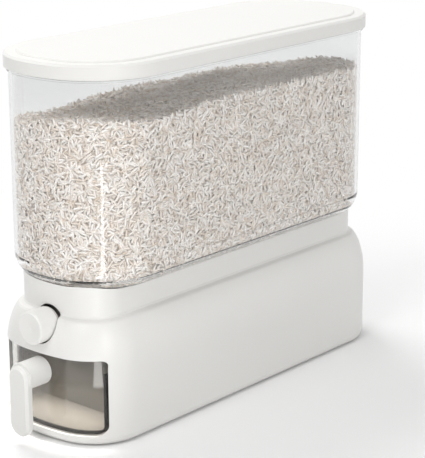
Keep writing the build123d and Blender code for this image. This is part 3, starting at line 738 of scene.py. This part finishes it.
class DISPENSER_OT_rice_grains(bpy.types.Operator):
    """Model one grain and lay its copies along the walls, over the heap and under the collar"""

    bl_idname = "dispenser.rice_grains"
    bl_label = "Rice grains"

    # how far over the fill height the walls get grains, where the heap may reach
    heap_room = 12 * MM
    # how far below the heap's surface the topmost grains on the wall may stop
    ragged_edge = 1.5 * MM
    # how far off the wall a grain's middle stays, as a share of its thickness, and off the
    # heap's edge, as a share of its length
    wall_gap = 0.55
    edge_gap = 0.45
    # painted shade: tone of the lowest grains on the wall, the climb over which it would rise by 1, and
    # tone of the grains that face up or down, on the heap under the lid and in the collar
    painted_foot_shade = 0.55
    foot_fade = 45 * MM
    painted_flat_shade = 0.8
    # spread of the grains' tilt out of the surface, in radians
    wall_tilt = 0.12
    heap_tilt = 0.3
    collar_tilt = 0.1

    def grains_over(self, rice, layers, area):
        """How many grains cover an area this many times."""
        return int(layers * area / (rice.grain_length * rice.grain_width * GRAIN_COVER))

    def along_walls(self, rice, rng, sign_x, sign_y):
        """Grains of one quarter of the wall, from the hopper's rounded foot up to the heap."""
        foot_run = HOPPER_FOOT_RADIUS * np.pi / 2
        wall_run = rice.fill_height + self.heap_room - HOPPER_FLOOR_Z - HOPPER_FOOT_RADIUS
        count = self.grains_over(rice, rice.wall_layers, lid_plan.quarter_run * (foot_run + wall_run))
        run, climb = (even_spread(count, rng) * [lid_plan.quarter_run, foot_run + wall_run]).T
        layer = rng.uniform(0, rice.wall_depth, count) + rice.grain_thickness * self.wall_gap
        angle = np.clip(climb / HOPPER_FOOT_RADIUS, 0, np.pi / 2)
        radius = HOPPER_FOOT_RADIUS - layer
        inset = HOPPER_INNER_INSET + HOPPER_FOOT_RADIUS - radius * np.sin(angle)
        flat, outward = lid_plan.place(run, inset)
        z = HOPPER_FLOOR_Z + HOPPER_FOOT_RADIUS - radius * np.cos(angle) + np.maximum(climb - foot_run, 0)
        signs = np.array([sign_x, sign_y])
        flat = flat * signs + [0, lid_plan.middle_y]
        normals = np.column_stack([outward * signs * np.sin(angle)[:, None], -np.cos(angle)])
        heap = rice_height(flat[:, 0], flat[:, 1], rice.fill_height)
        keep = z < heap - rng.uniform(0, self.ragged_edge, count)
        # painted shade: grains low on the wall are darker, up to full tone over the climb
        painted_shades = np.clip(self.painted_foot_shade + climb[keep] / self.foot_fade, 0, 1)
        return np.column_stack([flat, z])[keep], grain_frames(normals[keep], self.wall_tilt, rng), painted_shades

    def spread(self, plan, inset, layers, rice, rng):
        """Places over the whole of an inset outline."""
        width = plan.width - inset
        count = self.grains_over(rice, layers, 4 * width * plan.length)
        x, y = ((2 * even_spread(count, rng) - 1) * [width, plan.length]).T
        keep = np.abs(y) < plan.half_length(x, inset)
        return x[keep], y[keep] + plan.middle_y

    def over_heap(self, rice, rng):
        """Grains on the heap, lying with its slope."""
        inset = HOPPER_INNER_INSET + rice.grain_length * self.edge_gap
        x, y = self.spread(lid_plan, inset, rice.top_layers, rice, rng)
        z = rice_height(x, y, rice.fill_height) - rng.uniform(0, rice.wall_depth, len(x))
        normals = np.column_stack([np.full(len(x), -HEAP_SLOPE), np.zeros(len(x)), np.ones(len(x))])
        normals /= np.linalg.norm(normals, axis=1, keepdims=True)
        frames = grain_frames(normals, self.heap_tilt, rng)
        # painted shade of the lid over the heap
        return np.column_stack([x, y, z]), frames, np.full(len(x), self.painted_flat_shade)

    def under_collar(self, rice, rng):
        """Grains that show from below, in the collar's open end."""
        inset = COLLAR_INNER_INSET + rice.grain_length / 2
        x, y = self.spread(base_plan, inset, rice.foot_layers, rice, rng)
        z = np.full(len(x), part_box("hopper")[0].z + rice.grain_width) + rng.uniform(0, MM, len(x))
        normals = np.tile([0.0, 0.0, -1.0], (len(x), 1))
        frames = grain_frames(normals, self.collar_tilt, rng)
        # painted shade on the grains in the collar's open end
        return np.column_stack([x, y, z]), frames, np.full(len(x), self.painted_flat_shade)

    def execute(self, context):
        rice = context.scene.dispenser_rice
        rng = np.random.default_rng(rice.seed)
        shape = grain_shape(rice)
        material = grain_material(rice)
        for name, sign_x, sign_y in (
            ("rice_wall_front_left", -1, -1), ("rice_wall_front_right", 1, -1),
            ("rice_wall_back_left", -1, 1), ("rice_wall_back_right", 1, 1),
        ):
            rice_piece(name, *self.along_walls(rice, rng, sign_x, sign_y), shape, material, rng)
        rice_piece("rice_heap", *self.over_heap(rice, rng), shape, material, rng)
        rice_piece("rice_foot", *self.under_collar(rice, rng), shape, material, rng)
        return {"FINISHED"}


# ---------------------------------------------------------------- studio
def add_area_lamp(name, place, rotation, size, power):
    """A rectangular lamp that shines along its own -Z; its size is a pair."""
    deselect_all()
    bpy.ops.object.light_add(type="AREA", location=place, rotation=rotation)
    lamp = bpy.context.object
    lamp.name = name
    lamp.data.shape = "RECTANGLE"
    lamp.data.size, lamp.data.size_y = size
    lamp.data.energy = power
    return lamp


def facing(place, target):
    """Rotation of a lamp at a place that shines at a target."""
    return (Vector(target) - Vector(place)).to_track_quat("-Z", "Y").to_euler()


def seen_rays(tree):
    """An output that is 1 for what the camera sees, directly, in a reflection or through clear plastic."""
    rays = add_node(tree, "ShaderNodeLightPath")
    first = add_node(
        tree, "ShaderNodeMath", operation="MAXIMUM",
        links={0: rays.outputs["Is Camera Ray"], 1: rays.outputs["Is Glossy Ray"]},
    )
    both = add_node(
        tree, "ShaderNodeMath", operation="MAXIMUM",
        links={0: first.outputs[0], 1: rays.outputs["Is Transmission Ray"]},
    )
    return both.outputs[0]


class DISPENSER_OT_studio(bpy.types.Operator):
    """Set up the floor, the soft lamps, the white surroundings and the camera"""

    bl_idname = "dispenser.studio"
    bl_label = "Studio"

    floor_size = 12
    # the floor turns to plain white between these distances from the object
    fade_start = 0.2
    fade_end = 0.6
    # film width in millimetres, and how far the camera sees
    sensor_mm = 36
    sight = 50

    def add_floor(self, studio):
        """A wide sheet of paper that stays white to the camera."""
        deselect_all()
        bpy.ops.mesh.primitive_plane_add(size=self.floor_size)
        floor = bpy.context.object
        floor.name = "studio_floor"
        material, tree = new_material("Paper seamless white")
        seen = seen_rays(tree)
        # the light it throws back is a little less than white, so the object's underside isn't overlit
        tone = add_node(
            tree, "ShaderNodeMixRGB", {"Color1": linear("#E4E4E4"), "Color2": studio.floor}, {"Fac": seen}
        )
        paper = add_node(tree, "ShaderNodeBsdfDiffuse", links={"Color": tone.outputs["Color"]})
        # away from the object the camera sees plain white, with no fall-off of the lamps
        place = add_node(tree, "ShaderNodeTexCoord").outputs["Object"]
        distance = add_node(tree, "ShaderNodeVectorMath", links={0: place}, operation="LENGTH")
        away = add_node(
            tree, "ShaderNodeMapRange",
            {"From Min": self.fade_start, "From Max": self.fade_end, "To Min": 0.0, "To Max": 1.0},
            {"Value": distance.outputs["Value"]}, interpolation_type="SMOOTHSTEP",
        )
        share = add_node(
            tree, "ShaderNodeMath", links={0: away.outputs["Result"], 1: seen}, operation="MULTIPLY"
        )
        white = add_node(tree, "ShaderNodeEmission", {"Color": studio.floor, "Strength": 1.0})
        both = add_node(tree, "ShaderNodeMixShader", links={"Fac": share.outputs[0]})
        tree.links.new(paper.outputs["BSDF"], both.inputs[1])
        tree.links.new(white.outputs["Emission"], both.inputs[2])
        add_node(tree, "ShaderNodeOutputMaterial", links={"Surface": both.outputs["Shader"]})
        floor.data.materials.append(material)

    def light_world(self, studio):
        """Surroundings that light evenly and look plain white."""
        world = bpy.data.worlds.new("Studio surroundings")
        bpy.context.scene.world = world
        world.use_nodes = True
        tree = world.node_tree
        tree.nodes.clear()
        even = add_node(tree, "ShaderNodeBackground", {"Color": studio.floor, "Strength": studio.ambient})
        white = add_node(tree, "ShaderNodeBackground", {"Color": studio.floor, "Strength": 1.0})
        both = add_node(tree, "ShaderNodeMixShader", links={"Fac": seen_rays(tree)})
        tree.links.new(even.outputs["Background"], both.inputs[1])
        tree.links.new(white.outputs["Background"], both.inputs[2])
        add_node(tree, "ShaderNodeOutputWorld", links={"Surface": both.outputs["Shader"]})

    def add_camera(self, studio):
        """The photograph's viewpoint."""
        deselect_all()
        bpy.ops.object.camera_add(location=studio.camera_place, rotation=studio.camera_turn)
        camera = bpy.context.object
        camera.name = "studio_camera"
        camera.data.sensor_width = self.sensor_mm
        camera.data.lens = studio.lens_mm
        camera.data.clip_end = self.sight
        bpy.context.scene.camera = camera

    def add_soft_lamps(self, studio):
        """Large lamps round the object: name, place, height of what it shines at, size and power."""
        for name, place, target_z, size, power in (
            ("key_lamp", (-1.3, 0.3, 1.9), 0.12, (1.2, 1.2), studio.key_power),
            ("top_lamp", (0.1, 0.1, 2.2), 0.1, (1.6, 1.6), studio.top_power),
            ("fill_lamp", (1.4, -0.7, 0.5), 0.14, (0.5, 0.9), studio.fill_power),
            ("front_lamp", (0.2, -1.5, 1.7), 0.1, (0.9, 0.9), studio.front_power),
        ):
            add_area_lamp(name, place, facing(place, (0, 0, target_z)), size, power)

    def add_small_lamps(self, studio):
        """Two lamps that the camera doesn't see."""
        # a strip lying in front of the near corner, where the upright corners mirror it to the camera
        up = (radians(180), 0, radians(-40))
        strip = add_area_lamp("strip_lamp", (0.39, -0.44, 0.003), up, (0.7, 0.05), studio.strip_power)
        strip.visible_camera = False
        # daylight that the smoked panel would hold back, shining down on the tray
        down = (0, 0, 0)
        inner = add_area_lamp("drawer_lamp", (0, -0.138, 0.0525), down, (0.08, 0.03), studio.drawer_power)
        inner.data.spread = radians(80)
        inner.visible_camera = False
        inner.visible_glossy = False
        inner.visible_transmission = False

    def execute(self, context):
        studio = context.scene.dispenser_studio
        context.scene.view_settings.view_transform = "Standard"
        self.add_floor(studio)
        self.light_world(studio)
        self.add_soft_lamps(studio)
        self.add_small_lamps(studio)
        self.add_camera(studio)
        return {"FINISHED"}


class DISPENSER_PT_panel(bpy.types.Panel):
    """A button for each step, and the settings"""

    bl_idname = "DISPENSER_PT_panel"
    bl_label = "Rice dispenser"
    bl_space_type = "VIEW_3D"
    bl_region_type = "UI"
    bl_category = "Dispenser"

    def draw(self, context):
        for operator in OPERATORS:
            self.layout.operator(operator.bl_idname)
        for name in GROUPS:
            group = getattr(context.scene, name)
            column = self.layout.column()
            for setting in group.__annotations__:
                column.prop(group, setting)


OPERATORS = (
    DISPENSER_OT_shells,
    DISPENSER_OT_inner_parts,
    DISPENSER_OT_clear_parts,
    DISPENSER_OT_soft_parts,
    DISPENSER_OT_metal_parts,
    DISPENSER_OT_spring,
    DISPENSER_OT_rice_core,
    DISPENSER_OT_rice_grains,
    DISPENSER_OT_studio,
)
GROUPS = {
    "dispenser_finish": DispenserFinish,
    "dispenser_rice": DispenserRice,
    "dispenser_studio": DispenserStudio,
}


def register():
    for name, group in GROUPS.items():
        bpy.utils.register_class(group)
        setattr(bpy.types.Scene, name, bpy.props.PointerProperty(type=group))
    for operator in OPERATORS:
        bpy.utils.register_class(operator)
    bpy.utils.register_class(DISPENSER_PT_panel)


def unregister():
    bpy.utils.unregister_class(DISPENSER_PT_panel)
    for operator in reversed(OPERATORS):
        bpy.utils.unregister_class(operator)
    for name, group in GROUPS.items():
        delattr(bpy.types.Scene, name)
        bpy.utils.unregister_class(group)


def main():
    register()
    bpy.ops.dispenser.shells()
    bpy.ops.dispenser.inner_parts()
    bpy.ops.dispenser.clear_parts()
    bpy.ops.dispenser.soft_parts()
    bpy.ops.dispenser.metal_parts()
    bpy.ops.dispenser.spring()
    bpy.ops.dispenser.rice_core()
    bpy.ops.dispenser.rice_grains()
    bpy.ops.dispenser.studio()


if __name__ == "__main__":
    main()
